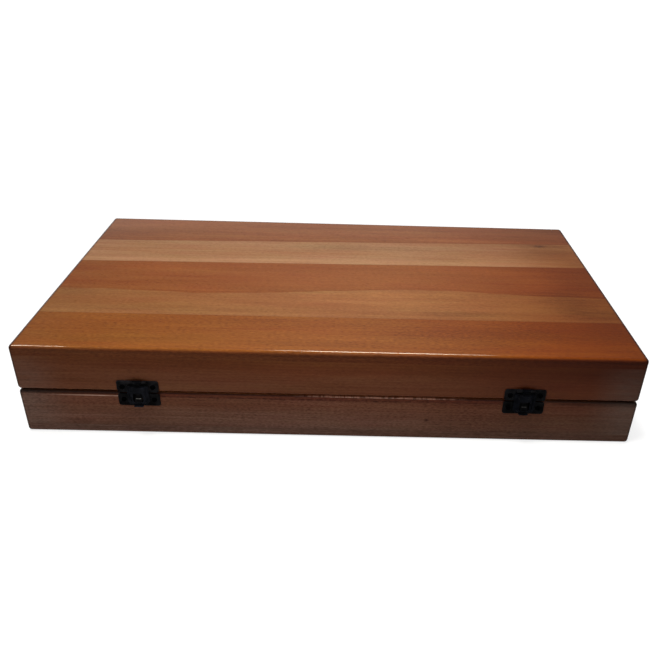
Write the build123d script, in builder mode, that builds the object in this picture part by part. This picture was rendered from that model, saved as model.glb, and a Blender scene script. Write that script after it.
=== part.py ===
from build123d import *
import os

os.makedirs("parts", exist_ok=True)

# Folding backgammon board: two equal trays of lacquered beech, hinged along their rear rails and held shut by two
# hasp latches at the front. Open, the two trays lie side by side and their rear rails form the bar.
#
# Frame: millimetres, +Z up. Origin at the centre of the base tray's underside. +X runs along the length, +Y towards
# the hinges, and the latches are on the -Y face.

# ---------------------------------------------------------------- driving dimensions
LENGTH = 480.0  # closed, along X
DEPTH = 260.0  # closed, along Y
HEIGHT = 79.0  # closed, along Z
SEAM_GAP = 0.9  # between the two trays when closed
SEAM_Z = HEIGHT / 2
HALF_H = (HEIGHT - SEAM_GAP) / 2  # height of one tray

R_CORNER = 3.0  # vertical corners
R_TOP = 2.9  # round-over of the lid's outer face
R_BOTTOM = 2.5  # round-over of the base's outer face
R_SEAM = 2.9  # round-over of the outer edges that meet at the seam
R_INNER = 1.0  # arris inside the rim

PANEL_T = 8.0  # staved outer panel
PLAY_T = 3.25  # playing surface
WALL = 14.0  # front and end rails
REAR_WALL = 18.0  # rear rails, which form the bar together
PLAY_FIT = 0.1  # round the playing surface

# Glue joints between the staves, as Y at the left end and at the right end, from the front to the rear
LID_JOINTS = [(-77.2, -74.7), (21.3, 30.9), (70.2, 86.2)]
BASE_JOINTS = [(-70.0, -63.0), (-2.0, -9.5), (66.5, 61.0)]
STAVES = ["front", "middle", "inner", "rear"]

# Points: six at each end of each tray
POINT_PITCH = (DEPTH - WALL - REAR_WALL) / 6  # 38
POINT_BASE = POINT_PITCH - 1.0
POINT_LEN = 180.0
POINT_T = 0.8
POINT_START = 1.0  # from the end rail

# Butt hinges, with their leaves let into the rim
HINGE_X = (-150.0, 150.0)
HINGE_LEN = 38.0
HINGE_Y = DEPTH / 2 + 0.5  # pin axis, just behind the rear faces, so both trays open flat
LEAF_T = 1.2
LEAF_W = 12.5  # from the pin axis
LEAF_R = 1.5
BARREL_R = 2.2
HINGE_PIN_R = 1.0
RUNNING = 0.05  # radial clearance of a pin in the leaf that turns on it
KNUCKLE_GAP = 0.3
KNUCKLES = 5
BARREL_RELIEF = 0.35
HINGE_SCREW_R = 1.15
HINGE_SCREW_HEAD_R = 2.3
HINGE_SCREW_LEN = 12.0

# Hasp latches. u runs along X, v up from the seam, w out from the front face.
LATCH_X = (-147.5, 150.3)
PLATE_W = 32.0
PLATE_T = 0.9
PLATE_R = 2.0
LID_PLATE_V = (0.6, 10.9)
BASE_PLATE_V = (-11.9, -0.6)
SCREW_U = 11.6
LID_SCREW_V = 5.6
BASE_SCREW_V = -6.1
LATCH_SCREW_R = 1.1
LATCH_HEAD_R = 2.05
LATCH_SCREW_LEN = 9.0
PIVOT_V, PIVOT_W = 10.2, 1.95  # tongue's axis
EAR_R = 1.1
EAR_U = (3.4, 7.2)
TONGUE_KNUCKLE_R = 1.75
TONGUE_KNUCKLE_W = 6.2
LATCH_PIN_R = 0.7
TONGUE_W = 16.4
TONGUE_V = (-9.8, 8.0)
TONGUE_T = 0.8
TONGUE_BACK = 1.25  # w of the tongue's back face
DOME_W, DOME_V = 12.6, (-8.9, 7.0)
DOME_H = 1.25
WINDOW_W, WINDOW_V = 7.6, (-7.3, 0.7)
LIP_W = 7.4
CATCH_W = 5.8
CATCH_TIP_V = -6.9


def front_plane(x=0.0, w=0.0):
    """A plane on the front face: local x is +X, local y is up from the seam, local z points out."""
    return Plane(origin=(x, -DEPTH / 2 - w, SEAM_Z), x_dir=(1, 0, 0), z_dir=(0, -1, 0))


def latch_side_plane(x):
    """A plane across X at the front face: local x is out from the face, local y is up from the seam."""
    return Plane(origin=(x, -DEPTH / 2, SEAM_Z), x_dir=(0, -1, 0), z_dir=(-1, 0, 0))


def hinge_side_plane(x):
    """A plane across X at the hinge's axis: local x is +Y, local y is +Z."""
    return Plane(origin=(x, HINGE_Y, SEAM_Z), x_dir=(0, 1, 0), z_dir=(1, 0, 0))


SEAM_PLANE = Plane.XY.offset(SEAM_Z)


def finish(builder, name):
    builder.part.label = name
    export_step(builder.part, f"parts/{name}.step")


# ---------------------------------------------------------------- blanks: the two outer envelopes
with BuildPart() as base_blank:
    with BuildSketch(Plane.XY):
        RectangleRounded(LENGTH, DEPTH, R_CORNER)
    extrude(amount=HALF_H)
    fillet(base_blank.faces().sort_by(Axis.Z)[0].edges(), R_BOTTOM)
    fillet(base_blank.faces().sort_by(Axis.Z)[-1].edges(), R_SEAM)

with BuildPart() as lid_blank:
    with BuildSketch(Plane.XY.offset(HEIGHT - HALF_H)):
        RectangleRounded(LENGTH, DEPTH, R_CORNER)
    extrude(amount=HALF_H)
    fillet(lid_blank.faces().sort_by(Axis.Z)[-1].edges(), R_TOP)
    fillet(lid_blank.faces().sort_by(Axis.Z)[0].edges(), R_SEAM)


# ---------------------------------------------------------------- staved outer panels
def stave_outline(joints, i):
    """Corners of stave i, counted from the front, with room past the blank."""
    x, y = LENGTH / 2, DEPTH / 2 + 5
    low = joints[i - 1] if i else (-y, -y)
    high = joints[i] if i < len(joints) else (y, y)

    def run_on(line):
        # the joint's line carried on past both ends of the blank
        slope = (line[1] - line[0]) / LENGTH
        return line[0] - 5 * slope, line[1] + 5 * slope

    low, high = run_on(low), run_on(high)
    return [(-x - 5, low[0]), (x + 5, low[1]), (x + 5, high[1]), (-x - 5, high[0])]


for i, stave_name in enumerate(STAVES):
    with BuildPart() as base_stave:
        add(base_blank.part)
        with BuildSketch(Plane.XY.offset(-1)):
            Polygon(*stave_outline(BASE_JOINTS, i), align=None)
        extrude(amount=PANEL_T + 1, mode=Mode.INTERSECT)
    finish(base_stave, f"base_{stave_name}_stave")

    with BuildPart() as lid_stave:
        add(lid_blank.part)
        with BuildSketch(Plane.XY.offset(HEIGHT - PANEL_T)):
            Polygon(*stave_outline(LID_JOINTS, i), align=None)
        extrude(amount=PANEL_T + 1, mode=Mode.INTERSECT)
    finish(lid_stave, f"lid_{stave_name}_stave")

# ---------------------------------------------------------------- rails, mitred at the corners
OUT = 6.0  # how far a mitre's line is carried past the corner
SKEW = OUT * WALL / REAR_WALL
FRONT_IN = -DEPTH / 2 + WALL
REAR_IN = DEPTH / 2 - REAR_WALL
END_IN = LENGTH / 2 - WALL

FRONT_RAIL = [
    (-LENGTH / 2 - OUT, -DEPTH / 2 - OUT),
    (LENGTH / 2 + OUT, -DEPTH / 2 - OUT),
    (END_IN, FRONT_IN),
    (-END_IN, FRONT_IN),
]
REAR_RAIL = [
    (LENGTH / 2 + SKEW, DEPTH / 2 + OUT),
    (-LENGTH / 2 - SKEW, DEPTH / 2 + OUT),
    (-END_IN, REAR_IN),
    (END_IN, REAR_IN),
]
RIGHT_RAIL = [
    (LENGTH / 2 + OUT, -DEPTH / 2 - OUT),
    (LENGTH / 2 + SKEW, DEPTH / 2 + OUT),
    (END_IN, REAR_IN),
    (END_IN, FRONT_IN),
]

with BuildPart() as base_front_rail:
    add(base_blank.part)
    with BuildSketch(Plane.XY.offset(PANEL_T)):
        Polygon(*FRONT_RAIL, align=None)
    extrude(amount=HALF_H, mode=Mode.INTERSECT)
    inner = base_front_rail.edges().filter_by(Axis.X).filter_by(
        lambda e: e.center().Z > HALF_H - 0.01 and abs(e.center().Y - FRONT_IN) < 0.01
    )
    fillet(inner, R_INNER)

# The lid's front rail is the same piece turned over, before the screw holes are bored
with BuildPart() as lid_front_rail:
    mirror(base_front_rail.part, about=SEAM_PLANE)
    for x in LATCH_X:
        with BuildSketch(front_plane(x)):
            with Locations((-SCREW_U, LID_SCREW_V), (SCREW_U, LID_SCREW_V)):
                Circle(LATCH_SCREW_R)
        extrude(amount=-LATCH_SCREW_LEN - 0.5, mode=Mode.SUBTRACT)
finish(lid_front_rail, "lid_front_rail")

with BuildPart() as base_front_rail_bored:
    add(base_front_rail.part)
    for x in LATCH_X:
        with BuildSketch(front_plane(x)):
            with Locations((-SCREW_U, BASE_SCREW_V), (SCREW_U, BASE_SCREW_V)):
                Circle(LATCH_SCREW_R)
        extrude(amount=-LATCH_SCREW_LEN - 0.5, mode=Mode.SUBTRACT)
finish(base_front_rail_bored, "base_front_rail")

LEAF_BACK = HINGE_Y - LEAF_W  # the leaf's edge inside the rim
SCREW_ROW_Y = HINGE_Y - 7.6
SCREW_XS = (-13.0, 13.0)
SCREW_MID_Y = HINGE_Y - 8.6

with BuildPart() as base_rear_rail:
    add(base_blank.part)
    with BuildSketch(Plane.XY.offset(PANEL_T)):
        Polygon(*REAR_RAIL, align=None)
    extrude(amount=HALF_H, mode=Mode.INTERSECT)
    inner = base_rear_rail.edges().filter_by(Axis.X).filter_by(
        lambda e: e.center().Z > HALF_H - 0.01 and abs(e.center().Y - REAR_IN) < 0.01
    )
    fillet(inner, R_INNER)
    for x in HINGE_X:
        # gain for the leaf
        with BuildSketch(Plane.XY.offset(HALF_H)):
            with Locations((x, (LEAF_BACK + DEPTH / 2 + 6) / 2)):
                RectangleRounded(HINGE_LEN, DEPTH / 2 + 6 - LEAF_BACK, LEAF_R)
        extrude(amount=-LEAF_T, mode=Mode.SUBTRACT)
        # relief for the barrel and the pin's heads
        with BuildSketch(hinge_side_plane(x)):
            Circle(BARREL_R + BARREL_RELIEF)
        extrude(amount=HINGE_LEN / 2 + 1.2, both=True, mode=Mode.SUBTRACT)
        # pilot holes
        with BuildSketch(Plane.XY.offset(HALF_H)):
            with Locations(*[(x + dx, SCREW_ROW_Y) for dx in SCREW_XS], (x, SCREW_MID_Y)):
                Circle(HINGE_SCREW_R)
        extrude(amount=-HINGE_SCREW_LEN - 0.5, mode=Mode.SUBTRACT)
finish(base_rear_rail, "base_rear_rail")

with BuildPart() as lid_rear_rail:
    mirror(base_rear_rail.part, about=SEAM_PLANE)
finish(lid_rear_rail, "lid_rear_rail")

with BuildPart() as base_right_rail:
    add(base_blank.part)
    with BuildSketch(Plane.XY.offset(PANEL_T)):
        Polygon(*RIGHT_RAIL, align=None)
    extrude(amount=HALF_H, mode=Mode.INTERSECT)
    inner = base_right_rail.edges().filter_by(Axis.Y).filter_by(
        lambda e: e.center().Z > HALF_H - 0.01 and abs(e.center().X - END_IN) < 0.01
    )
    fillet(inner, R_INNER)
finish(base_right_rail, "base_right_rail")

with BuildPart() as base_left_rail:
    mirror(base_right_rail.part, about=Plane.YZ)
finish(base_left_rail, "base_left_rail")

with BuildPart() as lid_right_rail:
    mirror(base_right_rail.part, about=SEAM_PLANE)
finish(lid_right_rail, "lid_right_rail")

with BuildPart() as lid_left_rail:
    mirror(base_left_rail.part, about=SEAM_PLANE)
finish(lid_left_rail, "lid_left_rail")


# ---------------------------------------------------------------- playing surfaces and their inlaid points
def point_outlines(first):
    """The twelve points' outlines: those with an even count if first is 0, else the odd ones."""
    found = []
    for i in range(6):
        y = FRONT_IN + POINT_PITCH * (i + 0.5)
        for end, turn in ((-1, 0), (1, 1)):
            if (i + turn + first) % 2 == 0:
                base_x = end * (END_IN - POINT_START)
                tip_x = base_x - end * POINT_LEN
                corners = [(base_x, y - POINT_BASE / 2), (tip_x, y), (base_x, y + POINT_BASE / 2)]
                found.append(corners if end > 0 else corners[::-1])
    return found


PLAY_TOP = PANEL_T + PLAY_T
with BuildPart() as base_play_panel:
    with BuildSketch(Plane.XY.offset(PANEL_T)):
        with Locations((0, (FRONT_IN + REAR_IN) / 2)):
            Rectangle(2 * (END_IN - PLAY_FIT), REAR_IN - FRONT_IN - 2 * PLAY_FIT)
    extrude(amount=PLAY_T)
    with BuildSketch(Plane.XY.offset(PLAY_TOP)):
        for corners in point_outlines(0) + point_outlines(1):
            Polygon(*corners, align=None)
    extrude(amount=-POINT_T, mode=Mode.SUBTRACT)
finish(base_play_panel, "base_play_panel")

with BuildPart() as lid_play_panel:
    mirror(base_play_panel.part, about=SEAM_PLANE)
finish(lid_play_panel, "lid_play_panel")

# The colours go on alternating round the whole open board, so the lid's are the other way about
for first, tone, lid_tone in ((0, "dark", "light"), (1, "light", "dark")):
    with BuildPart() as base_points:
        with BuildSketch(Plane.XY.offset(PLAY_TOP)):
            for corners in point_outlines(first):
                Polygon(*corners, align=None)
        extrude(amount=-POINT_T)
    finish(base_points, f"base_{tone}_points")

    with BuildPart() as lid_points:
        mirror(base_points.part, about=SEAM_PLANE)
    finish(lid_points, f"lid_{lid_tone}_points")

# ---------------------------------------------------------------- butt hinges
KNUCKLE_LEN = (HINGE_LEN - (KNUCKLES - 1) * KNUCKLE_GAP) / KNUCKLES
KNUCKLE_XS = [-HINGE_LEN / 2 + KNUCKLE_LEN / 2 + i * (KNUCKLE_LEN + KNUCKLE_GAP) for i in range(KNUCKLES)]

for side, x in zip(("left", "right"), HINGE_X):
    # The base leaf holds the pin in its three knuckles, and the lid leaf turns on it with two
    for half, own, bore in (("base", (0, 2, 4), HINGE_PIN_R), ("lid", (1, 3), HINGE_PIN_R + RUNNING)):
        with BuildPart() as leaf:
            clear = BARREL_R + BARREL_RELIEF
            with BuildSketch(Plane.XY.offset(HALF_H)):
                with Locations((x, LEAF_BACK + LEAF_W / 2 + 2)):
                    RectangleRounded(HINGE_LEN, LEAF_W + 4, LEAF_R)
                with Locations((x, HINGE_Y - clear + 10)):
                    Rectangle(HINGE_LEN + 10, 20, mode=Mode.SUBTRACT)
                for i in own:
                    with Locations((x + KNUCKLE_XS[i], HINGE_Y - 3)):
                        Rectangle(KNUCKLE_LEN, 6)
            extrude(amount=-LEAF_T)
            for i in own:
                with BuildSketch(hinge_side_plane(x + KNUCKLE_XS[i])):
                    Circle(BARREL_R)
                extrude(amount=KNUCKLE_LEN / 2, both=True)
            with BuildSketch(hinge_side_plane(x)):
                Circle(bore)
            extrude(amount=HINGE_LEN, both=True, mode=Mode.SUBTRACT)
            with Locations(*[(x + dx, SCREW_ROW_Y, HALF_H) for dx in SCREW_XS], (x, SCREW_MID_Y, HALF_H)):
                CounterSinkHole(
                    radius=HINGE_SCREW_R, counter_sink_radius=HINGE_SCREW_HEAD_R, depth=4, counter_sink_angle=90
                )
        if half == "base":
            finish(leaf, f"hinge_{side}_base_leaf")
        else:
            with BuildPart() as lid_leaf:
                mirror(leaf.part, about=SEAM_PLANE)
            finish(lid_leaf, f"hinge_{side}_lid_leaf")

    with BuildPart() as hinge_pin:
        with BuildSketch(hinge_side_plane(x)):
            Circle(HINGE_PIN_R)
        extrude(amount=HINGE_LEN / 2 + 0.1, both=True)
        for end in (-1, 1):
            with BuildSketch(hinge_side_plane(x + end * (HINGE_LEN / 2 + 0.1))):
                Circle(HINGE_PIN_R + 0.5)
            extrude(amount=end * 0.8)
        fillet(hinge_pin.faces().filter_by(Axis.X).sort_by(Axis.X)[0].edges(), 0.5)
        fillet(hinge_pin.faces().filter_by(Axis.X).sort_by(Axis.X)[-1].edges(), 0.5)
    finish(hinge_pin, f"hinge_{side}_pin")

with BuildPart() as hinge_screws_base:
    spots = [(x + dx, SCREW_ROW_Y) for x in HINGE_X for dx in SCREW_XS] + [(x, SCREW_MID_Y) for x in HINGE_X]
    head_h = HINGE_SCREW_HEAD_R - HINGE_SCREW_R
    with BuildSketch(Plane.XY.offset(HALF_H - HINGE_SCREW_LEN)):
        with Locations(*spots):
            Circle(HINGE_SCREW_R)
    extrude(amount=HINGE_SCREW_LEN)
    chamfer(
        hinge_screws_base.edges().filter_by(GeomType.CIRCLE).group_by(Axis.Z)[0], length=1.6, length2=0.9
    )
    for spot in spots:
        with BuildSketch(Plane.XY.offset(HALF_H - head_h)):
            with Locations(spot):
                Circle(HINGE_SCREW_R)
        with BuildSketch(Plane.XY.offset(HALF_H)):
            with Locations(spot):
                Circle(HINGE_SCREW_HEAD_R)
        loft()
    # cross recess
    with BuildSketch(Plane.XY.offset(HALF_H)):
        with Locations(*spots):
            Rectangle(2.6, 0.55)
            Rectangle(0.55, 2.6)
    extrude(amount=-0.7, mode=Mode.SUBTRACT)
finish(hinge_screws_base, "hinge_screws_base")

with BuildPart() as hinge_screws_lid:
    mirror(hinge_screws_base.part, about=SEAM_PLANE)
finish(hinge_screws_lid, "hinge_screws_lid")

# ---------------------------------------------------------------- hasp latches
for side, x in zip(("left", "right"), LATCH_X):
    # Upper plate, on the lid, with two rolled ears that hold the tongue's pin
    with BuildPart() as lid_plate:
        low, high = LID_PLATE_V
        with BuildSketch(front_plane(x)):
            with Locations((0, (low + high) / 2)):
                RectangleRounded(PLATE_W, high - low, PLATE_R)
            # notch in which the tongue's knuckle turns
            with Locations((0, PIVOT_V)):
                Rectangle(2 * EAR_U[0], 2 * (TONGUE_KNUCKLE_R + 0.35), mode=Mode.SUBTRACT)
            with Locations((-SCREW_U, LID_SCREW_V), (SCREW_U, LID_SCREW_V)):
                Circle(LATCH_SCREW_R + 0.25, mode=Mode.SUBTRACT)
        extrude(amount=PLATE_T)
        chamfer(lid_plate.faces().sort_by(Axis.Y)[0].outer_wire().edges(), 0.25)
        for end in (-1, 1):
            with BuildSketch(latch_side_plane(x + end * (EAR_U[0] + EAR_U[1]) / 2)):
                with Locations((PIVOT_W, PIVOT_V)):
                    Circle(EAR_R)
                # the sheet runs up behind the roll
                with Locations((PIVOT_W / 2 - 0.1, PIVOT_V - 0.6)):
                    Rectangle(PIVOT_W - 0.2, 1.6)
            extrude(amount=(EAR_U[1] - EAR_U[0]) / 2, both=True)
        with BuildSketch(latch_side_plane(x)):
            with Locations((PIVOT_W, PIVOT_V)):
                Circle(LATCH_PIN_R)
        extrude(amount=12, both=True, mode=Mode.SUBTRACT)
    finish(lid_plate, f"latch_{side}_lid_plate")

    with BuildPart() as latch_pin:
        with BuildSketch(latch_side_plane(x)):
            with Locations((PIVOT_W, PIVOT_V)):
                Circle(LATCH_PIN_R)
        extrude(amount=EAR_U[1] + 0.25, both=True)
        chamfer(latch_pin.faces().filter_by(Axis.X).edges(), 0.2)
    finish(latch_pin, f"latch_{side}_pin")

    # Tongue: a pressed flap with a raised middle, a window for the catch and a lip for a finger
    with BuildPart() as tongue:
        low, high = TONGUE_V
        with BuildSketch(front_plane(x, TONGUE_BACK)):
            with BuildLine():
                Polyline(
                    (-TONGUE_W / 2 + 0.9, high),
                    (-TONGUE_W / 2, high - 1.2),
                    (-TONGUE_W / 2, low + 2.4),
                    (-TONGUE_W / 2 + 1.6, low),
                    (TONGUE_W / 2 - 1.6, low),
                    (TONGUE_W / 2, low + 2.4),
                    (TONGUE_W / 2, high - 1.2),
                    (TONGUE_W / 2 - 0.9, high),
                    close=True,
                )
            make_face()
            fillet(vertices(), 0.5)
        extrude(amount=TONGUE_T)
        # raised middle
        with BuildSketch(front_plane(x, TONGUE_BACK + TONGUE_T)):
            with Locations((0, (DOME_V[0] + DOME_V[1]) / 2)):
                RectangleRounded(DOME_W, DOME_V[1] - DOME_V[0], 2.2)
        extrude(amount=DOME_H, taper=38)
        # hollow back
        with BuildSketch(front_plane(x, TONGUE_BACK)):
            with Locations((0, (DOME_V[0] + DOME_V[1]) / 2)):
                RectangleRounded(DOME_W - 1.2, DOME_V[1] - DOME_V[0] - 1.2, 1.6)
        extrude(amount=DOME_H, taper=38, mode=Mode.SUBTRACT)
        # knuckle and the neck that carries it
        with BuildSketch(latch_side_plane(x)):
            with Locations((PIVOT_W, PIVOT_V)):
                Circle(TONGUE_KNUCKLE_R)
            with Locations((TONGUE_BACK + TONGUE_T / 2, (PIVOT_V + high - 1.5) / 2)):
                Rectangle(TONGUE_T, PIVOT_V - high + 1.5)
        extrude(amount=TONGUE_KNUCKLE_W / 2, both=True)
        with BuildSketch(latch_side_plane(x)):
            with Locations((PIVOT_W, PIVOT_V)):
                Circle(LATCH_PIN_R + RUNNING)
        extrude(amount=6, both=True, mode=Mode.SUBTRACT)
        # window
        with BuildSketch(front_plane(x)):
            with Locations((0, (WINDOW_V[0] + WINDOW_V[1]) / 2)):
                RectangleRounded(WINDOW_W, WINDOW_V[1] - WINDOW_V[0], 0.5)
        extrude(amount=8, mode=Mode.SUBTRACT)
        # finger lip, rolled outwards
        with BuildSketch(latch_side_plane(x)):
            with BuildLine():
                a = (TONGUE_BACK, low + 0.8)
                b = (TONGUE_BACK, low - 0.1)
                c = (TONGUE_BACK + 2.7, low - 1.35)
                d = (TONGUE_BACK + 2.7, low - 0.55)
                e = (TONGUE_BACK + TONGUE_T, low + 0.8)
                Line(a, b)
                ThreePointArc(b, (TONGUE_BACK + 0.75, low - 1.05), c)
                Line(c, d)
                ThreePointArc(d, (TONGUE_BACK + 1.3, low - 0.35), e)
                Line(e, a)
            make_face()
        extrude(amount=LIP_W / 2, both=True)
        # the lip's corners are clipped
        with BuildSketch(front_plane(x)):
            for end in (-1, 1):
                corner = [(end * (LIP_W / 2 + 0.5), low - 0.25), (end * (LIP_W / 2 - 1.5), low - 2.25)]
                corner.append((end * (LIP_W / 2 + 0.5), low - 2.25))
                Polygon(*(corner if end < 0 else corner[::-1]), align=None)
        extrude(amount=8, mode=Mode.SUBTRACT)
    finish(tongue, f"latch_{side}_tongue")

    # Lower plate, on the base, with the catch struck up out of the sheet
    with BuildPart() as base_plate:
        low, high = BASE_PLATE_V
        with BuildSketch(front_plane(x)):
            with Locations((0, (low + high) / 2)):
                RectangleRounded(PLATE_W, high - low, PLATE_R)
            with Locations((-SCREW_U, BASE_SCREW_V), (SCREW_U, BASE_SCREW_V)):
                Circle(LATCH_SCREW_R + 0.25, mode=Mode.SUBTRACT)
            # the opening left by the catch
            with Locations((0, (CATCH_TIP_V - 3.0) / 2)):
                Rectangle(CATCH_W + 0.6, -3.0 - CATCH_TIP_V, mode=Mode.SUBTRACT)
        extrude(amount=PLATE_T)
        chamfer(base_plate.faces().sort_by(Axis.Y)[0].outer_wire().edges(), 0.25)
        with BuildSketch(latch_side_plane(x)):
            Polygon(
                (PLATE_T, -2.0),
                (3.35, -6.05),
                (3.35, CATCH_TIP_V),
                (2.5, CATCH_TIP_V),
                (2.5, -6.3),
                (0.35, -3.1),
                (0.2, -2.0),
                align=None,
            )
        extrude(amount=CATCH_W / 2, both=True)
    finish(base_plate, f"latch_{side}_base_plate")

for half, v in (("lid", LID_SCREW_V), ("base", BASE_SCREW_V)):
    with BuildPart() as latch_screws:
        spots = [(x + du, v) for x in LATCH_X for du in (-SCREW_U, SCREW_U)]
        with BuildSketch(front_plane(0, PLATE_T)):
            with Locations(*spots):
                Circle(LATCH_HEAD_R)
        extrude(amount=1.15)
        fillet(latch_screws.edges().filter_by(GeomType.CIRCLE).group_by(Axis.Y)[0], 0.75)
        with BuildSketch(front_plane(0, PLATE_T)):
            with Locations(*spots):
                Circle(LATCH_SCREW_R)
        extrude(amount=-LATCH_SCREW_LEN - PLATE_T + 0.4)
        chamfer(latch_screws.edges().filter_by(GeomType.CIRCLE).group_by(Axis.Y)[-1], length=1.4, length2=0.85)
        # cross recess
        with BuildSketch(front_plane(0, PLATE_T + 1.15)):
            with Locations(*spots):
                Rectangle(2.2, 0.5)
                Rectangle(0.5, 2.2)
        extrude(amount=-0.65, mode=Mode.SUBTRACT)
    finish(latch_screws, f"latch_screws_{half}")
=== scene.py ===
"""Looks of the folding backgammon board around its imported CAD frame."""

import math

import bpy
from mathutils import Matrix, Vector

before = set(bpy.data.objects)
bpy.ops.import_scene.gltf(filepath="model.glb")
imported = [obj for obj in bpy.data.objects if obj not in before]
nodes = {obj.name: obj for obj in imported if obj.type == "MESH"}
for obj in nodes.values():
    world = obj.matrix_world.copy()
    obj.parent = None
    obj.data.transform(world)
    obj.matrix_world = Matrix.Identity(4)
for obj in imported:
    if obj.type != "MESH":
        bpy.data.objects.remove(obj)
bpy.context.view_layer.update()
scene = bpy.context.scene

# ------------------------------------------------------------------ camera, fitted to the photograph's outline
cam_data = bpy.data.cameras.new("camera")
cam_data.sensor_fit = "HORIZONTAL"
cam_data.sensor_width = 36.0
cam_data.lens = 37.3947
cam_data.shift_x = -0.043365
cam_data.shift_y = -0.026986
cam_data.clip_start, cam_data.clip_end = 0.01, 60.0
camera = bpy.data.objects.new("camera", cam_data)
scene.collection.objects.link(camera)
camera.matrix_world = Matrix(
    (
        (0.99961451, -0.02372940, -0.01441309, 0.01183790),
        (-0.00106310, 0.48603966, -0.87393611, -0.55954363),
        (0.02774332, 0.87361454, 0.48582707, 0.35426959),
        (0.0, 0.0, 0.0, 1.0),
    )
)
scene.camera = camera

scene.view_settings.view_transform = "Standard"
scene.view_settings.look = "None"
scene.view_settings.exposure = 0.0
scene.view_settings.gamma = 1.0


# ------------------------------------------------------------------ node helpers
class Tree:
    """A material's node tree, with short calls for the nodes used here. Values may be sockets or numbers."""

    def __init__(self, name):
        self.mat = bpy.data.materials.new(name)
        self.mat.use_nodes = True
        self.t = self.mat.node_tree
        self.t.nodes.clear()
        self.out = self.t.nodes.new("ShaderNodeOutputMaterial")
        self.bsdf = self.t.nodes.new("ShaderNodeBsdfPrincipled")
        self.t.links.new(self.bsdf.outputs[0], self.out.inputs[0])

    def put(self, socket, value):
        if isinstance(value, bpy.types.NodeSocket):
            self.t.links.new(value, socket)
        else:
            socket.default_value = value

    def set(self, **values):
        """Inputs of the Principled shader by name, with _ for a space."""
        for key, value in values.items():
            self.put(self.bsdf.inputs[key.replace("_", " ")], value)

    def math(self, op, a, b=0.0, c=None, clamp=False):
        n = self.t.nodes.new("ShaderNodeMath")
        n.operation, n.use_clamp = op, clamp
        self.put(n.inputs[0], a)
        self.put(n.inputs[1], b)
        if c is not None:
            self.put(n.inputs[2], c)
        return n.outputs[0]

    def add(self, *terms):
        total = terms[0]
        for x in terms[1:]:
            total = self.math("ADD", total, x)
        return total

    def mul(self, *terms):
        total = terms[0]
        for x in terms[1:]:
            total = self.math("MULTIPLY", total, x)
        return total

    def step(self, x, low, high, out_low=0.0, out_high=1.0):
        """Smooth step of x from low to high."""
        n = self.t.nodes.new("ShaderNodeMapRange")
        n.interpolation_type = "SMOOTHSTEP"
        for i, value in enumerate((x, low, high, out_low, out_high)):
            self.put(n.inputs[i], value)
        return n.outputs[0]

    def mix(self, fac, a, b, blend="MIX"):
        n = self.t.nodes.new("ShaderNodeMix")
        n.data_type, n.blend_type = "RGBA", blend
        n.clamp_factor = True
        self.put(n.inputs[0], fac)
        for socket, value in ((n.inputs[6], a), (n.inputs[7], b)):
            self.put(socket, (*value, 1.0) if isinstance(value, tuple) else value)
        return n.outputs[2]

    def scale_color(self, color, factor):
        """color times a grey factor."""
        n = self.t.nodes.new("ShaderNodeVectorMath")
        n.operation = "SCALE"
        self.put(n.inputs[0], color)
        self.put(n.inputs[3], factor)
        return n.outputs[0]

    def vec(self, x, y, z):
        n = self.t.nodes.new("ShaderNodeCombineXYZ")
        for i, value in enumerate((x, y, z)):
            self.put(n.inputs[i], value)
        return n.outputs[0]

    def noise(self, v, detail=2.0, rough=0.5, distort=0.0):
        """Noise from about 0 to 1 of a vector that is already in cells."""
        n = self.t.nodes.new("ShaderNodeTexNoise")
        n.noise_dimensions = "3D"
        self.put(n.inputs["Vector"], v)
        n.inputs["Scale"].default_value = 1.0
        n.inputs["Detail"].default_value = detail
        n.inputs["Roughness"].default_value = rough
        n.inputs["Distortion"].default_value = distort
        return n.outputs[0]

    def cells(self, v, random=1.0):
        """(distance to the nearest cell's point, the cell's random colour)."""
        n = self.t.nodes.new("ShaderNodeTexVoronoi")
        n.voronoi_dimensions, n.feature = "3D", "F1"
        self.put(n.inputs["Vector"], v)
        n.inputs["Scale"].default_value = 1.0
        n.inputs["Randomness"].default_value = random
        return n.outputs["Distance"], n.outputs["Color"]

    def place(self):
        """Position on the part at rest, in millimetres, as three sockets."""
        n = self.t.nodes.new("ShaderNodeTexCoord")
        s = self.t.nodes.new("ShaderNodeVectorMath")
        s.operation = "SCALE"
        s.inputs[3].default_value = 1000.0
        self.t.links.new(n.outputs["Object"], s.inputs[0])
        p = self.t.nodes.new("ShaderNodeSeparateXYZ")
        self.t.links.new(s.outputs[0], p.inputs[0])
        return p.outputs[0], p.outputs[1], p.outputs[2]

    def facing(self):
        """The surface's normal in the part's own axes, as three sockets."""
        n = self.t.nodes.new("ShaderNodeTexCoord")
        p = self.t.nodes.new("ShaderNodeSeparateXYZ")
        self.t.links.new(n.outputs["Normal"], p.inputs[0])
        return p.outputs[0], p.outputs[1], p.outputs[2]

    def bump(self, height, strength=0.3, distance=0.0002):
        n = self.t.nodes.new("ShaderNodeBump")
        n.inputs["Strength"].default_value = strength
        n.inputs["Distance"].default_value = distance
        self.put(n.inputs["Height"], height)
        self.t.links.new(n.outputs[0], self.bsdf.inputs["Normal"])


# ------------------------------------------------------------------ lacquered beech
def peel_of(field):
    """Patchiness of the painted sheen at the ends."""
    return field(17, 5, 5, ox=14.2, detail=3.0, rough=0.6)


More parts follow.
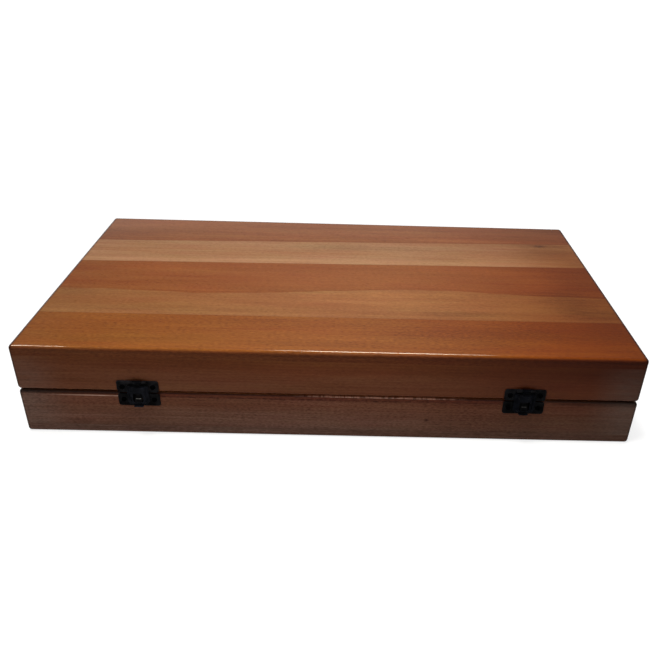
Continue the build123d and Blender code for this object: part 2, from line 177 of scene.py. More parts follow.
def wood(
    name,
    seed,
    tone,
    grain="x",
    contrast=1.0,
    flecks=1.0,
    joints=(),
    blobs=(),
    second=None,
    side=None,
    bands=(),
    shade=0.3,
    shade_from=85.0,
    lip=None,
    ends=(0.0, 0.0),
    rise=None,
    right=(1.0, 1.0, 1.0),
    right_from=40.0,
    rim=False,
    ray=3.0,
    rough=0.4,
    coat=1.0,
    coat_rough=0.1,
    cross=True,
):
    """Stained and lacquered beech as a solid pattern, with its grain along x or y.

    tone: the stain's colour on the long-grain face.
    joints: glue lines as (y at x=-240, y at x=240), darkened a little.
    blobs: soft marks as (x, y, half length, half width, darkening, axis), with axis z for marks on the front.
    second: (colour, line, sign) for a board in two natural tones: the boundary runs along y = line(x).
    side: (colour, low, high, far) of the faces that look to the front or back, in a darker tone that is partly their
    own stain and partly painted shade; far is the colour factor of painted shade towards the right-hand end.
    bands: straight stripes as (y at x=-240, y at x=240, half width, lightening, share of it at the right-hand end).
    shade, shade_from: how much darker the colour is painted towards the right-hand end, a painted shade where less
    light falls, and from where on.
    lip: (z of the seam's edge, width of the band along it) for the seam's round-over: painted shade along it and at
    its ends, a dark line of stain beads, and painted highlights.
    ends: how much greyer and paler the last 30 mm at the left and right ends are, a painted sheen.
    rise: (z, colour factor there) from the bottom up, for a colour that changes up a face: a painted greyish
    reflection of the floor lower down, and painted shade at the foot of the lower rail.
    right, right_from: colour factor at the right-hand end, the hue of the painted shade there, and from where on.
    rim: whether the piece has a rim at the seam.
    ray: length of the small dashes along the grain.
    cross: whether the faces across the grain show end grain.
    """
    m = Tree(name)
    x, y, z = m.place()
    nx, ny, nz = m.facing()
    along, across, up = (x, y, z) if grain == "x" else (y, x, z)
    n_along = nx if grain == "x" else ny

    def field(a, b, c=None, ox=0.0, **kw):
        """Noise with cells a mm long by b mm wide."""
        c = c or b
        v = m.vec(
            m.math("MULTIPLY_ADD", along, 1.0 / a, seed * 13.17 + ox),
            m.math("MULTIPLY_ADD", across, 1.0 / b, seed * 7.31 - ox),
            m.math("MULTIPLY_ADD", up, 1.0 / c, seed * 3.73 + ox),
        )
        return m.noise(v, **kw)

    slow = field(210, 26, 18, detail=2.0, rough=0.55)
    blotch = field(58, 21, 21, ox=4.1, detail=3.0, rough=0.6)
    # growth rings of a flat-sawn board: near level sheets, warped, so that they cut the face at long shallow angles
    warp = field(330, 70, 50, ox=9.7, detail=1.0, rough=0.4)
    ring_at = m.add(m.mul(up, 0.40), m.mul(across, 0.052), m.mul(warp, 9.0))
    ring = m.math("PINGPONG", ring_at, 0.5)
    ring = m.step(ring, 0.05, 0.5)
    streak = field(120, 2.6, 1.7, ox=2.2, detail=3.0, rough=0.65)
    thread = field(24, 1.7, 1.0, ox=6.6, detail=2.0, rough=0.6)
    # rays, short dashes along the grain, thicker in some patches than in others
    ripple = field(ray, 1.0, 0.8, ox=3.9, detail=1.0, rough=0.5)
    dash = m.step(field(1.07 * ray, 1.7, 0.9, ox=1.9, detail=1.0, rough=0.5), 0.53, 0.68)
    patch = m.step(field(46, 15, 15, ox=7.9, detail=2.0), 0.34, 0.62, 0.4, 1.0)
    fainter = m.step(x, 80.0, 225.0, 1.0, 0.6)
    dash = m.mul(dash, patch, fainter)
    fine = field(2.4, 0.34, 0.34, ox=5.1, detail=2.0, rough=0.6)

    # brightness around 1
    value = m.add(
        1.0,
        m.mul(m.math("SUBTRACT", slow, 0.5), 0.42 * contrast),
        m.mul(m.math("SUBTRACT", blotch, 0.5), 0.26 * contrast),
        m.mul(m.math("SUBTRACT", ring, 0.55), 0.10 * contrast),
        m.mul(m.math("SUBTRACT", streak, 0.5), 0.62 * contrast),
        m.mul(m.math("SUBTRACT", thread, 0.5), 0.42 * contrast),
        m.mul(m.math("SUBTRACT", ripple, 0.5), 1.1 * flecks, fainter),
        m.mul(m.math("SUBTRACT", fine, 0.5), 0.2),
        m.mul(m.math("SUBTRACT", 0.12, dash), 0.17 * flecks),
    )
    # painted shade: the colour darkens towards the right-hand end, where less light falls
    value = m.mul(value, m.step(x, shade_from, 255.0, 1.0, 1.0 - shade))

    # colour: the deeper places are also redder
    red = m.step(m.add(slow, m.mul(m.math("SUBTRACT", streak, 0.5), 0.5)), 0.3, 0.7)
    deep = tuple(c * k for c, k in zip(tone, (0.95, 0.86, 0.78)))
    pale = tuple(c * k for c, k in zip(tone, (1.03, 1.08, 1.13)))
    color = m.mix(red, deep, pale)
    if second:
        other, line, softness = second
        wander = m.mul(m.math("SUBTRACT", field(38, 400, 400, ox=1.3, detail=3.0), 0.5), 5.0)
        bound = line(m, x)
        side_of = m.math("SUBTRACT", m.add(y, wander), bound)
        pale_side = m.step(side_of, softness, -softness)
        other_deep = tuple(c * k for c, k in zip(other, (0.95, 0.88, 0.82)))
        other_pale = tuple(c * k for c, k in zip(other, (1.03, 1.07, 1.1)))
        color = m.mix(pale_side, color, m.mix(red, other_deep, other_pale))
        # the thin deep line that the heartwood keeps at its edge
        edge = m.mul(m.step(m.math("ABSOLUTE", m.math("ADD", side_of, -1.6)), 2.6, 0.0), 0.09)
        value = m.math("SUBTRACT", value, edge)
    white = (1.0, 1.0, 1.0)
    # the painted shade's hue towards the right-hand end
    if right != white:
        color = m.mix(1.0, color, m.mix(m.step(x, right_from, 235.0), white, right), "MULTIPLY")
    if side:
        # the upright faces take the side colour, partly painted shade, and far paints deeper shade towards the
        # right-hand end
        other, low, high, far = side
        front = m.step(m.math("ABSOLUTE", ny), low, high)
        other_deep = tuple(c * k for c, k in zip(other, (0.95, 0.88, 0.82)))
        other_pale = tuple(c * k for c, k in zip(other, (1.03, 1.07, 1.1)))
        other = m.mix(1.0, m.mix(red, other_deep, other_pale), m.mix(m.step(x, 30.0, 175.0), white, far), "MULTIPLY")
        color = m.mix(front, color, other)
        # and a thin line of painted shade under the lid's round-over
        under = m.mul(m.step(m.math("ABSOLUTE", ny), 0.88, 0.98), m.step(z, 74.0, 76.3))
        value = m.math("SUBTRACT", value, m.mul(under, 0.17))
    # painted light up the face: the floor's greyish reflection lower down, and shade at the foot of the lower rail
    if rise:
        z_last, factor = rise[0]
        for z_next, above in rise[1:]:
            factor = m.mix(m.step(z, z_last, z_next), factor, above)
            z_last = z_next
        color = m.mix(1.0, color, factor, "MULTIPLY")
    for bx, by, rx, ry, dark, axis in blobs:
        v = y if axis == "y" else z
        ragged = m.mul(m.math("SUBTRACT", field(9, 3.2, 3.2, ox=bx * 0.01, detail=3.0), 0.5), 0.9)
        dx = m.math("MULTIPLY_ADD", x, 1.0 / rx, -bx / rx)
        dy = m.math("MULTIPLY_ADD", v, 1.0 / ry, -by / ry)
        r = m.math("SQRT", m.add(m.mul(dx, dx), m.mul(dy, dy)))
        spot = m.step(m.add(r, ragged), 1.15, 0.15)
        value = m.math("SUBTRACT", value, m.mul(spot, dark))
    for left, right in joints:
        slope = (right - left) / 480.0
        middle = (left + right) / 2
        off = m.math("ABSOLUTE", m.math("SUBTRACT", m.math("MULTIPLY_ADD", x, -slope, y), middle))
        value = m.math("SUBTRACT", value, m.mul(m.step(off, 0.55, 0.05), 0.17))
    for left, right, half, light, fade in bands:
        slope = (right - left) / 480.0
        off = m.math("ABSOLUTE", m.math("SUBTRACT", m.math("MULTIPLY_ADD", x, -slope, y), (left + right) / 2))
        ragged = m.mul(m.math("SUBTRACT", streak, 0.5), half)
        value = m.math("ADD", value, m.mul(m.step(m.add(off, ragged), half * 1.25, half * 0.6), m.step(x, 90.0, 225.0, light, light * fade)))
    if lip:
        # painted shade along the round-over by the seam, where the lid's edge shades it, with a broken dark line of
        # stain beads under it
        top, low = lip
        depth = m.math("ADD", z, -top)
        front = m.step(m.math("MULTIPLY", ny, -1.0), 0.3, 0.7)
        band = m.step(depth, -low - 0.3, -low + 0.6)
        inner = m.mul(m.step(x, -160.0, -130.0), m.step(x, 175.0, 125.0))
        color = m.mix(m.mul(band, inner), color, m.mix(1.0, color, (0.71, 0.51, 0.46), "MULTIPLY"))
        # painted shade on the round-over, deeper at the right-hand end
        outer = m.mul(m.step(depth, -2.8, -1.6), m.step(x, 125.0, 175.0))
        value = m.mul(value, m.math("MULTIPLY_ADD", outer, -0.15, 1.0))
        far_end = m.mul(m.step(depth, -5.6, -1.8), m.step(x, 165.0, 182.0))
        value = m.mul(value, m.math("MULTIPLY_ADD", far_end, -0.38, 1.0))
        broken = m.step(field(3.4, 40, 2.2, ox=2.9, detail=2.0, rough=0.6), 0.47, 0.57)
        wavy = m.mul(m.math("SUBTRACT", field(11, 40, 40, ox=6.1, detail=3.0), 0.5), 1.8)
        beads = m.step(m.math("ABSOLUTE", m.add(depth, low - 0.8, wavy)), 1.0, 0.25)
        beads = m.mul(beads, broken, front, m.step(x, -158.0, -140.0, 0.25, 1.0), m.step(x, 60.0, 150.0, 1.0, 0.4))
        value = m.mul(value, m.math("MULTIPLY_ADD", beads, -0.42, 1.0))
        # by the left-hand end: painted shade above, as in a wider gap, and a painted highlight line below
        left = m.step(x, -152.0, -168.0)
        value = m.mul(value, m.math("SUBTRACT", 1.0, m.mul(left, m.step(depth, -2.8, -1.7), 0.66)))
        line = m.step(m.math("ABSOLUTE", m.add(depth, low - 0.68, m.mul(wavy, 0.25))), 0.68, 0.18)
        painted_highlight = m.mul(line, front, m.step(x, -232.0, -170.0), m.step(x, -140.0, -158.0))
        painted_highlight = m.mul(painted_highlight, m.step(field(6, 40, 40, ox=1.7, detail=3.0), 0.3, 0.55, 0.55, 1.0))
        # in the middle a row of small painted highlights along the very edge, the sparkle of its lacquer
        sparkle_line = m.step(m.math("ABSOLUTE", m.add(depth, 0.55, m.mul(wavy, 0.12))), 0.58, 0.18)
        painted_sparkles = m.step(field(2.3, 40, 40, ox=8.3, detail=2.0, rough=0.6), 0.38, 0.58, 0.24, 1.0)
        painted_sparkles = m.mul(painted_sparkles, sparkle_line, m.step(x, -32.0, 0.0), m.step(x, 112.0, 78.0))
    if cross:
        # end grain soaks up more stain, and shows the rings and pores
        end = m.step(m.math("ABSOLUTE", n_along), 0.25, 0.85)
        ring_end = m.math("PINGPONG", m.add(m.mul(up, 0.36), m.mul(across, 0.10), m.mul(warp, 9.0)), 0.5)
        pores = field(900, 0.45, 0.45, ox=3.3, detail=1.0)
        end_value = m.add(0.55, m.mul(m.step(ring_end, 0.05, 0.5), 0.16), m.mul(m.math("SUBTRACT", pores, 0.5), 0.35))
        value = m.add(m.mul(value, m.math("SUBTRACT", 1.0, end)), m.mul(end_value, end))
        color = m.mix(m.mul(end, 0.62), color, tuple(c * 1.5 for c in RAIL_SIDE))
    # darker on the round-overs at the ends and the back
    lean = m.math("MAXIMUM", m.math("ABSOLUTE", nx), ny)
    darkened_round_overs = m.mul(m.step(lean, 0.07, 0.30), m.step(lean, 0.97, 0.82), m.step(nz, 0.05, 0.4, 0.4, 1.0))
    value = m.mul(value, m.math("MULTIPLY_ADD", darkened_round_overs, -0.62, 1.0))
    # and, thinner, in a line just inside them
    inside = m.math("MAXIMUM", m.step(m.math("ABSOLUTE", x), 235.8, 237.3), m.mul(m.step(y, 124.9, 127.2), 0.75))
    inside = m.mul(inside, m.step(m.math("ABSOLUTE", nz), 0.3, 0.7), m.step(m.math("ABSOLUTE", m.math("ADD", z, -39.5)), 30.0, 36.0))
    value = m.mul(value, m.math("MULTIPLY_ADD", inside, -0.36, 1.0))
    # handled edges: the lacquer is rubbed a little thinner and paler on the outer round-overs
    bx = m.math("ADD", m.math("ABSOLUTE", x), -238.4)
    by = m.math("ADD", m.math("ABSOLUTE", y), -128.4)
    bz = m.math("ADD", m.math("ABSOLUTE", m.math("ADD", z, -39.5)), -37.9)
    two = m.math("ADD", m.math("GREATER_THAN", bx, 0.0), m.math("GREATER_THAN", by, 0.0))
    two = m.math("ADD", two, m.math("GREATER_THAN", bz, 0.0))
    rub = m.mul(m.step(two, 1.4, 1.9), m.step(field(31, 9, 9, ox=5.5, detail=4.0), 0.45, 0.72))
    value = m.math("ADD", value, m.mul(rub, 0.08))
    value = m.math("MAXIMUM", value, 0.12)
    # darker places are redder, and the hue drifts a little along the board
    hue = m.math("SUBTRACT", field(64, 13, 9, ox=11.3, detail=3.0, rough=0.6), 0.5)
    tint = m.vec(
        value,
        m.mul(m.math("POWER", value, 1.22), m.math("MULTIPLY_ADD", hue, 0.34, 1.0)),
        m.mul(m.math("POWER", value, 1.45), m.math("MULTIPLY_ADD", hue, 0.16, 1.0)),
    )
    n = m.t.nodes.new("ShaderNodeVectorMath")
    n.operation = "MULTIPLY"
    m.put(n.inputs[0], color)
    m.put(n.inputs[1], tint)
    stained = n.outputs[0]
    if rim:
        # the rims that meet at the seam, under clear lacquer only
        flat = m.mul(m.step(m.math("ABSOLUTE", nz), 0.85, 0.98), m.step(m.math("ABSOLUTE", m.math("ADD", z, -39.5)), 1.6, 1.0))
        stained = m.mix(flat, stained, m.scale_color((0.30, 0.12, 0.050), value))
    if max(ends) > 0:
        # a painted greyish sheen at both ends of the front
        painted_light_share = m.add(m.step(x, -196.0, -236.0, 0.0, ends[0]), m.step(x, 196.0, 236.0, 0.0, ends[1]))
        painted_light_share = m.mul(painted_light_share, m.step(z, 76.0, 52.0, 0.35, 1.0))
        grey = m.scale_color((0.135, 0.078, 0.057), value)
        stained = m.mix(m.mul(painted_light_share, m.step(peel_of(field), 0.2, 0.7, 0.6, 1.0)), stained, grey)
    # the painted highlight line at the left-hand end and the painted sparkles in the middle
    if lip:
        stained = m.mix(painted_highlight, stained, (0.40, 0.235, 0.175))
        stained = m.mix(painted_sparkles, stained, (0.74, 0.33, 0.22))
    m.set(Base_Color=stained)

    # lacquer: slightly uneven, a touch duller where the grain is open
    peel = field(7.5, 6.5, 6.5, ox=8.8, detail=2.0, rough=0.45)
    smear = field(90, 60, 60, ox=0.7, detail=4.0, rough=0.6)
    m.set(
        Roughness=m.add(
            rough,
            m.mul(m.math("SUBTRACT", smear, 0.5), 0.14),
            m.mul(m.math("SUBTRACT", fine, 0.5), 0.12),
            m.mul(dash, 0.1),
        )
    )
    m.bsdf.inputs["Specular IOR Level"].default_value = 0.03
    m.bsdf.inputs["Coat Weight"].default_value = coat
    m.bsdf.inputs["Coat Roughness"].default_value = coat_rough
    m.bsdf.inputs["Coat IOR"].default_value = 1.5
    height = m.add(m.mul(peel, 0.5), m.mul(fine, 0.2), m.mul(thread, 0.35), m.mul(dash, -0.45))
    if lip:
        height = m.add(height, m.mul(field(3.2, 1.3, 1.3, ox=12.6, detail=2.0), m.step(depth, -2.8, -1.9), 6.0))
    m.bump(
        height,
        strength=0.3,
        distance=0.00022,
    )
    return m.mat


# ------------------------------------------------------------------ dark hardware
def metal(name, seed, tone, bare, rough=0.42, wear=0.5, catch=None, roll=None, gloss=0.25, uneven=(0.72, 1.3)):
    """Blackened pressed steel. catch: (x, z low, z high, half width, y limit, how much) of a pale patch on the catch,
    a painted glint on a spot scuffed smoother.

    roll: the height above which it is darkened to near black. uneven: how dark and how pale the blackening gets.
    """
    m = Tree(name)
    x, y, z = m.place()
    v = m.vec(x, y, z)

    def field(size, ox=0.0, **kw):
        s = m.t.nodes.new("ShaderNodeVectorMath")
        s.operation = "MULTIPLY_ADD"
        m.put(s.inputs[0], v)
        s.inputs[1].default_value = (1 / size,) * 3
        s.inputs[2].default_value = (seed * 3.1 + ox, seed * 1.7 - ox, seed * 5.3)
        return m.noise(s.outputs[0], **kw)

    cloud = field(5.5, detail=4.0, rough=0.6)
    speck = field(0.6, 2.0, detail=2.0, rough=0.6)
    scuff = m.mul(m.step(field(2.6, 5.0, detail=5.0, rough=0.7), 0.56, 0.74), wear)
    color = m.mix(m.step(cloud, 0.33, 0.67), tuple(c * uneven[0] for c in tone), tuple(c * uneven[1] for c in tone))
    if roll:
        color = m.scale_color(color, m.step(z, roll - 1.0, roll + 1.0, 1.0, 0.25))
    color = m.mix(m.mul(scuff, 0.5), color, bare)
    shine = m.add(rough, m.mul(m.math("SUBTRACT", cloud, 0.5), 0.2), m.mul(m.math("SUBTRACT", speck, 0.5), 0.18))
    # a painted glint: the catch's ramp paler and a little smoother in a patch
    if catch:
        cx, low, high, half, limit, painted_light_share = catch
        dx = m.step(m.math("ABSOLUTE", m.math("ADD", x, -cx)), half, half - 0.6)
        dz = m.mul(m.step(z, low, low + 0.5), m.step(z, high, high - 0.5))
        painted_highlight = m.mul(dx, dz, m.step(y, limit, limit - 0.35), m.step(field(1.1, 1.0, detail=3.0), 0.25, 0.5), painted_light_share)
        color = m.mix(painted_highlight, color, (0.62, 0.6, 0.56))
        shine = m.math("SUBTRACT", shine, m.mul(painted_highlight, 0.16))
    m.set(Base_Color=color, Roughness=shine)
    m.bsdf.inputs["Metallic"].default_value = 0.2 if gloss > 0.1 else 0.0
    m.bsdf.inputs["Specular IOR Level"].default_value = gloss
    m.bump(m.add(m.mul(speck, 0.6), m.mul(cloud, 0.8)), strength=0.25, distance=0.00012)
    return m.mat


# ------------------------------------------------------------------ the staves and rails
ROSE = (0.180, 0.0560, 0.0152)
PALE = (0.252, 0.1160, 0.0485)
RED = (0.187, 0.0520, 0.0100)
TAN = (0.211, 0.0800, 0.0230)
AMBER = (0.180, 0.0520, 0.0065)
# the rails' tones are darker than the staves', in part painted shade of the upright faces; the lower rail's is
# greyer, with the floor's reflection painted in
RAIL_UP = (0.119, 0.0350, 0.0112)
RAIL_LOW = (0.150, 0.0630, 0.0350)
RAIL_SIDE = (0.128, 0.0480, 0.0235)


def heart_line(m, x):
    """The natural boundary in the wide stave, a slow wave about y = -32."""
    return m.add(
        -37.9,
        m.mul(m.step(x, -120.0, -200.0), 3.2),
        m.mul(m.step(x, -110.0, 45.0), 11.2),
        m.mul(m.step(x, 0.0, 70.0), 3.2),
        m.mul(m.step(x, 95.0, 185.0), -5.8),
        m.mul(m.step(x, 185.0, 242.0), -2.2),
    )


LID_JOINTS = [(-77.2, -74.7), (21.3, 30.9), (70.2, 86.2)]
BASE_JOINTS = [(-70.0, -63.0), (-2.0, -9.5), (66.5, 61.0)]
# front_side, UP_RISE, LOW_RISE and DUSK paint light and shade: the shaded front face, the floor's reflection low on
# the rails, shade at the foot of the base and the right-hand end's shaded hue
front_side = (tuple(c * k for c, k in zip(RAIL_UP, (0.9, 0.82, 0.62))), 0.48, 0.94, (0.64, 0.45, 0.35))
UP_RISE = ((47.0, (1.02, 1.08, 1.30)), (77.0, (0.88, 0.80, 0.52)))
LOW_RISE = ((3.5, (0.64, 0.72, 0.85)), (15.0, (0.80, 0.81, 0.86)), (34.0, (0.82, 0.68, 0.60)))
DUSK = (1.0, 0.81, 0.53)

# below, shade, right, side, ends, rise and lip paint light and shade into the colour
looks = {
    "lid_rear_stave": wood(
        "stave_rose_lid",
        1.3,
        ROSE,
        contrast=0.72,
        flecks=0.5,
        shade=0.16,
        right=(1.0, 0.88, 0.82),
        joints=LID_JOINTS[2:],
        bands=[(123.0, 123.0, 5.0, 0.06, 0.2)],
        blobs=[(-225, 120, 120, 18, -0.15, "y"), (228, 124, 70, 13, 0.12, "y"), (232, 97, 60, 12, -0.09, "y"), (140, 88, 102, 8, -0.17, "y")],
        side=(tuple(c * k for c, k in zip(RAIL_UP, (1.0, 0.95, 0.85))), 0.35, 0.95, (0.9, 0.85, 0.8)),
    ),
    "lid_inner_stave": wood(
        "stave_pale_lid",
        2.7,
        PALE,
        contrast=0.36,
        flecks=0.42,
        shade=0.13,
        right=(1.0, 0.80, 0.58),
        right_from=150.0,
        joints=LID_JOINTS[1:],
        bands=[(26.5, 36.1, 4.6, 0.15, 0.2)],
        blobs=[
            (203, 80, 11, 4.0, 0.24, "y"),
            (204, 81, 50, 7, 0.15, "y"),
            (214, 66, 44, 22, 0.17, "y"),
            (-30, 54, 55, 2.2, 0.07, "y"),
            (-232, 48, 75, 34, -0.1, "y"),
            (30, 65, 115, 10, 0.2, "y"),
            (152, 38, 50, 24, -0.16, "y"),
            (236, 38, 28, 14, 0.13, "y"),
        ],
    ),
    "lid_middle_stave": wood(
        "stave_red_lid",
        3.9,
        RED,
        contrast=0.36,
        flecks=0.55,
        right=DUSK,
        joints=LID_JOINTS[:2],
        second=(TAN, heart_line, 0.9),
        bands=[(-73.2, -70.7, 2.0, 0.06, 0.5)],
        blobs=[
            (100, -66, 45, 8, 0.19, "y"),
            (-192, -35.5, 7, 1.4, 0.2, "y"),
            (35, -46, 95, 16, -0.16, "y"),
            (50, -33, 80, 7, -0.18, "y"),
            (182, -6, 30, 22, -0.12, "y"),
            (165, 17, 60, 10, -0.13, "y"),
            (202, -42, 30, 30, 0.16, "y"),
            (222, -63, 38, 14, 0.12, "y"),
            (-165, 9, 65, 10, -0.12, "y"),
            (-45, -28, 60, 5, 0.1, "y"),
            (-222, -40, 32, 8, 0.14, "y"),
            (-140, -69, 120, 7, 0.13, "y"),
        ],
    ),
    "lid_front_stave": wood(
        "stave_amber_lid",
        5.2,
        AMBER,
        contrast=0.5,
        flecks=0.8,
        shade=0.33,
        right=(1.0, 0.72, 0.13),
        right_from=0.0,
        ray=3.5,
        joints=LID_JOINTS[:1],
        side=front_side,
        ends=(0.15, 0.0),
        # the band by the front edge is a painted glow beside the highlight line, and the blobs at x 108 and 195 shape
        # the painted shade at the right
        bands=[(-125.0, -125.0, 4.2, 0.11, 0.8)],
        blobs=[(164, -94, 22, 5, 0.05, "y"), (-225, -122, 26, 8, -0.1, "y"), (108, -101, 68, 26, 0.16, "y"), (195, -115, 66, 13, -0.15, "y"), (-12, -102, 55, 26, -0.07, "y")],
    ),
    "lid_front_rail": wood("rail_lid_front", 6.4, RAIL_UP, contrast=0.55, flecks=0.5, shade=0.50, shade_from=15.0, ends=(0.5, 0.85), rim=True, rise=UP_RISE, right=(1.0, 0.8, 0.65), blobs=[(-8, 64, 105, 16, -0.2, "z"), (205, 47, 55, 14, -0.12, "z")]),
    "lid_rear_rail": wood("rail_lid_rear", 7.7, RAIL_UP, contrast=0.8, flecks=0.6, rim=True),
    "lid_left_rail": wood("rail_lid_left", 8.8, RAIL_UP, grain="y", contrast=0.8, flecks=0.6, shade=0.0, rim=True, cross=False),
    "lid_right_rail": wood("rail_lid_right", 9.1, RAIL_UP, grain="y", contrast=0.8, flecks=0.6, shade=0.1, rim=True, cross=False),
    "base_front_stave": wood(
        "stave_amber_base", 10.3, AMBER, flecks=0.9, joints=BASE_JOINTS[:1], side=(tuple(c * k for c, k in zip(RAIL_LOW, LOW_RISE[0][1])), 0.35, 0.95, (1.0, 1.0, 1.0))
    ),
    "base_middle_stave": wood("stave_pale_base", 11.5, PALE, contrast=0.8, flecks=0.5, joints=BASE_JOINTS[:2]),
    "base_inner_stave": wood("stave_rose_base", 12.1, ROSE, contrast=0.9, flecks=0.4, joints=BASE_JOINTS[1:]),
    "base_rear_stave": wood(
        "stave_red_base", 13.6, RED, contrast=0.9, flecks=0.6, joints=BASE_JOINTS[2:], side=(RAIL_SIDE, 0.35, 0.95, (0.9, 0.85, 0.8))
    ),
    "base_front_rail": wood(
        "rail_base_front",
        14.2,
        RAIL_LOW,
        contrast=0.75,
        flecks=1.0,
        shade=0.32,
        shade_from=25.0,
        rim=True,
        ray=2.6,
        lip=(39.05, 3.9),
        ends=(0.8, 0.95),
        rise=LOW_RISE,
        blobs=[(-197, 11, 14, 4, 0.2, "z"), (76, 18.4, 3.2, 1.8, 0.66, "z"), (150, 1, 62, 9, 0.47, "z"), (-207, 13, 45, 11, -0.11, "z")],
    ),
    "base_rear_rail": wood("rail_base_rear", 15.9, RAIL_SIDE, contrast=0.8, flecks=0.9, rim=True),
    "base_left_rail": wood("rail_base_left", 16.4, RAIL_SIDE, grain="y", contrast=0.8, flecks=0.8, shade=0.0, rim=True, cross=False),
    "base_right_rail": wood("rail_base_right", 17.8, RAIL_SIDE, grain="y", contrast=0.8, flecks=0.8, shade=0.1, rim=True, cross=False),
}
play = wood("play_surface", 18.6, (0.235, 0.118, 0.055), contrast=0.6, flecks=0.5, rough=0.42, coat=0.16, coat_rough=0.34, cross=False)
dark_inlay = wood("inlay_dark", 19.9, (0.034, 0.0150, 0.0085), contrast=1.5, flecks=0.5, rough=0.4, coat=0.16, coat_rough=0.34, cross=False)
light_inlay = wood("inlay_light", 20.4, (0.42, 0.285, 0.150), contrast=0.55, flecks=0.2, rough=0.42, coat=0.16, coat_rough=0.34, cross=False)
for half in ("lid", "base"):
    looks[f"{half}_play_panel"] = play
    looks[f"{half}_dark_points"] = dark_inlay
    looks[f"{half}_light_points"] = light_inlay

BARE = (0.05, 0.05, 0.052)
# the right-hand latch's darker tones and weaker catch glint are painted shade, as less light reaches that end
for side, cx, seed, painted_light_share, black, blue in (
    ("left", -147.5, 1.0, 1.0, (0.0050, 0.0045, 0.0052), (0.0074, 0.0082, 0.0122)),
    ("right", 150.3, 2.0, 0.25, (0.0030, 0.0029, 0.0034), (0.0034, 0.0042, 0.0076)),
):
    plate = metal(f"latch_{side}_plate", seed, tuple(c * 2.1 for c in black), BARE, rough=0.5, wear=0.5, gloss=0.18, uneven=(0.4, 1.5))
    looks[f"latch_{side}_lid_plate"] = plate
    looks[f"latch_{side}_base_plate"] = metal(
        f"latch_{side}_catch", seed + 0.3, black, BARE, rough=0.5, wear=0.5, catch=(cx, 34.75, 35.55, 2.2, -131.3, painted_light_share), gloss=0.18, uneven=(0.4, 1.9)
    )
    looks[f"latch_{side}_tongue"] = metal(f"latch_{side}_tongue", seed + 0.6, blue, BARE, rough=0.4, wear=0.6, roll=46.6, gloss=0.18, uneven=(0.55, 1.45))
    looks[f"latch_{side}_pin"] = plate
    hinge = metal(f"hinge_{side}", seed + 4.0, (0.0075, 0.0075, 0.0085), (0.09, 0.087, 0.08), rough=0.4, wear=0.8)
    for piece in ("base_leaf", "lid_leaf", "pin"):
        looks[f"hinge_{side}_{piece}"] = hinge
screw = metal("screw_black", 8.0, (0.0007, 0.0007, 0.0009), (0.02, 0.02, 0.02), rough=0.5, wear=0.3, gloss=0.06)
for half in ("lid", "base"):
    looks[f"latch_screws_{half}"] = screw
    looks[f"hinge_screws_{half}"] = screw

for name, obj in nodes.items():
    obj.data.materials.clear()
    obj.data.materials.append(looks[name])
    # smooth shading over the round-overs, sharp at real edges
    mesh = obj.data
    mesh.polygons.foreach_set("use_smooth", [True] * len(mesh.polygons))
    mesh.set_sharp_from_angle(angle=math.radians(32))

# ------------------------------------------------------------------ floor
floor_mesh = bpy.data.meshes.new("floor")
half_size, cut = 14.0, 28
verts = [
    (-half_size + 2 * half_size * i / cut, -half_size + 2 * half_size * j / cut, 0.0)
    for j in range(cut + 1)
    for i in range(cut + 1)
]
faces = [
    (j * (cut + 1) + i, j * (cut + 1) + i + 1, (j + 1) * (cut + 1) + i + 1, (j + 1) * (cut + 1) + i)
    for j in range(cut)
    for i in range(cut)
]
floor_mesh.from_pydata(verts, [], faces)
floor = bpy.data.objects.new("floor", floor_mesh)
scene.collection.objects.link(floor)
ground = Tree("floor")
ground.set(Base_Color=(0.3, 0.3, 0.3, 1.0), Roughness=0.9)
ground.bsdf.inputs["Specular IOR Level"].default_value = 0.0
ground.bsdf.inputs["Emission Color"].default_value = (1.0, 1.0, 1.0, 1.0)
# the floor glows as a light table, fully from 700 mm out and weaker near the board, a painted shade around it
gx, gy, gz = ground.place()
away = ground.math("SQRT", ground.add(ground.mul(gx, gx), ground.mul(gy, gy)))
ground.put(ground.bsdf.inputs["Emission Strength"], ground.step(away, 250.0, 700.0, 0.74, 1.0))
floor.data.materials.append(ground.mat)
floor.visible_glossy = False

# a white dome far behind everything, for the camera only
dome_mesh = bpy.data.meshes.new("backdrop")
rings, spokes, radius = 8, 48, 13.5
verts = [
    (
        radius * math.cos(math.pi / 2 * i / rings) * math.cos(2 * math.pi * j / spokes),
        radius * math.cos(math.pi / 2 * i / rings) * math.sin(2 * math.pi * j / spokes),
        radius * math.sin(math.pi / 2 * i / rings) - 0.01,
    )
    for i in range(rings)
    for j in range(spokes)
] + [(0.0, 0.0, radius)]
faces = [
    (i * spokes + j, (i + 1) * spokes + j, (i + 1) * spokes + (j + 1) % spokes, i * spokes + (j + 1) % spokes)
    for i in range(rings - 1)
    for j in range(spokes)
] + [((rings - 1) * spokes + j, rings * spokes, (rings - 1) * spokes + (j + 1) % spokes) for j in range(spokes)]
dome_mesh.from_pydata(verts, [], faces)
dome = bpy.data.objects.new("backdrop", dome_mesh)
scene.collection.objects.link(dome)
white = Tree("backdrop")
white.set(Base_Color=(0.0, 0.0, 0.0, 1.0), Roughness=1.0)
white.bsdf.inputs["Specular IOR Level"].default_value = 0.0
white.bsdf.inputs["Emission Color"].default_value = (1.0, 1.0, 1.0, 1.0)
white.bsdf.inputs["Emission Strength"].default_value = 1.0
dome.data.materials.append(white.mat)
for flag in ("visible_diffuse", "visible_glossy", "visible_transmission", "visible_volume_scatter", "visible_shadow"):
    setattr(dome, flag, False)

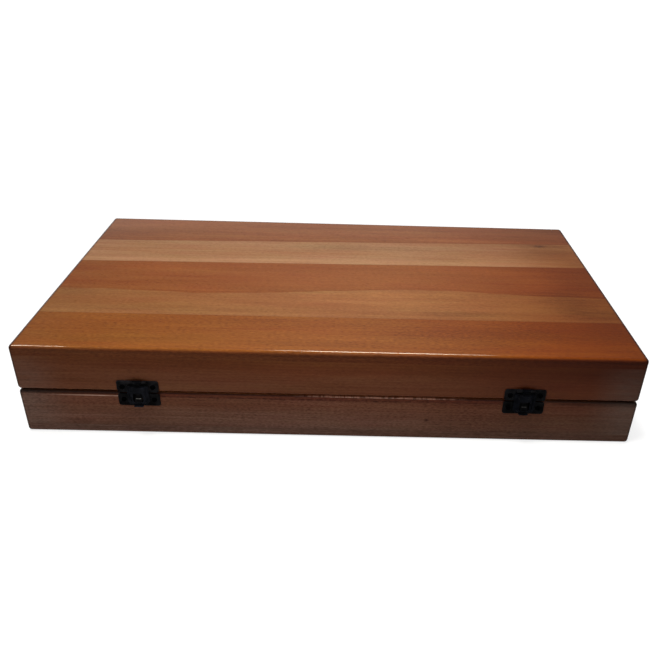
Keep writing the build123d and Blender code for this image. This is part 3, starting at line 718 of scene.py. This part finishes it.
# ------------------------------------------------------------------ light
world = bpy.data.worlds.new("world")
world.use_nodes = True
wt = world.node_tree
back = wt.nodes["Background"]
coord = wt.nodes.new("ShaderNodeTexCoord")
split = wt.nodes.new("ShaderNodeSeparateXYZ")
wt.links.new(coord.outputs["Generated"], split.inputs[0])


def world_step(socket, low, high, out_low, out_high):
    n = wt.nodes.new("ShaderNodeMapRange")
    n.interpolation_type = "SMOOTHSTEP"
    wt.links.new(socket, n.inputs[0])
    for i, value in enumerate((low, high, out_low, out_high), 1):
        n.inputs[i].default_value = value
    return n.outputs[0]


def world_math(op, a, b):
    n = wt.nodes.new("ShaderNodeMath")
    n.operation = op
    wt.links.new(a, n.inputs[0])
    wt.links.new(b, n.inputs[1])
    return n.outputs[0]


# a dim room, with a paler wall straight behind the board, bright low down, that the top reflects
room = world_step(split.outputs[2], -0.2, 0.9, 0.05, 0.13)
behind = world_step(split.outputs[1], 0.25, 0.7, 0.0, 1.0)
n = wt.nodes.new("ShaderNodeMath")
n.operation = "ABSOLUTE"
wt.links.new(split.outputs[0], n.inputs[0])
wall = world_math("MULTIPLY", behind, world_step(n.outputs[0], 0.34, 0.03, 0.0, 0.10))
band = world_math("MULTIPLY", behind, world_step(split.outputs[2], 0.395, 0.335, 0.0, 0.45))
band = world_math("MULTIPLY", band, world_step(split.outputs[0], 0.33, 0.02, 0.3, 1.0))
band = world_math("MULTIPLY", band, world_step(split.outputs[2], 0.0, 0.1, 0.0, 1.0))
room = world_math("ADD", room, wall)
wt.links.new(world_math("ADD", room, band), back.inputs["Strength"])
back.inputs["Color"].default_value = (1.0, 1.0, 1.0, 1.0)
scene.world = world


def lamp(name, kind, place, aim, energy, **settings):
    data = bpy.data.lights.new(name, kind)
    data.energy = energy
    for key, value in settings.items():
        setattr(data, key, value)
    obj = bpy.data.objects.new(name, data)
    obj.location = place
    obj.rotation_euler = (Vector(aim) - Vector(place)).to_track_quat("-Z", "Y").to_euler()
    scene.collection.objects.link(obj)
    return obj


# a broad overhead light, from a little behind
overhead = lamp("overhead", "SUN", (-0.1, 0.35, 2.0), (0, 0, 0), 1.9, angle=math.radians(45))
overhead.visible_glossy = False
# boxes seen only as reflections, which draw the lines of light along the front round-overs: the bright one stands
# behind the board and misses the lower half's edge, the weak ones stand in front
for name, place, power, size, high in (
    ("edge_box", (0.080, 0.60, 0.97), 3.7, 0.34, 0.28),
    ("wide_edge_box", (0.094, 0.60, 0.97), 3.9, 0.52, 0.28),
    ("corner_box", (-0.93, 0.08, 1.30), 6.6, 0.06, 0.42),
    ("lip_box", (0.095, -0.75, 1.10), 0.35, 0.32, 0.20),
):
    box = lamp(name, "AREA", place, (0.0, -0.13, 0.06), power, shape="RECTANGLE", size=size, size_y=high, color=(1.0, 0.96, 0.80))
    box.visible_diffuse = False
# a pool of light on the middle of the board
pool = lamp(
    "pool",
    "SPOT",
    (-0.25, -0.25, 1.7),
    (0.0, -0.02, 0.05),
    118.0,
    spot_size=math.radians(30),
    spot_blend=1.0,
    shadow_soft_size=0.2,
    color=(1.0, 0.985, 0.96),
)
pool.visible_glossy = False
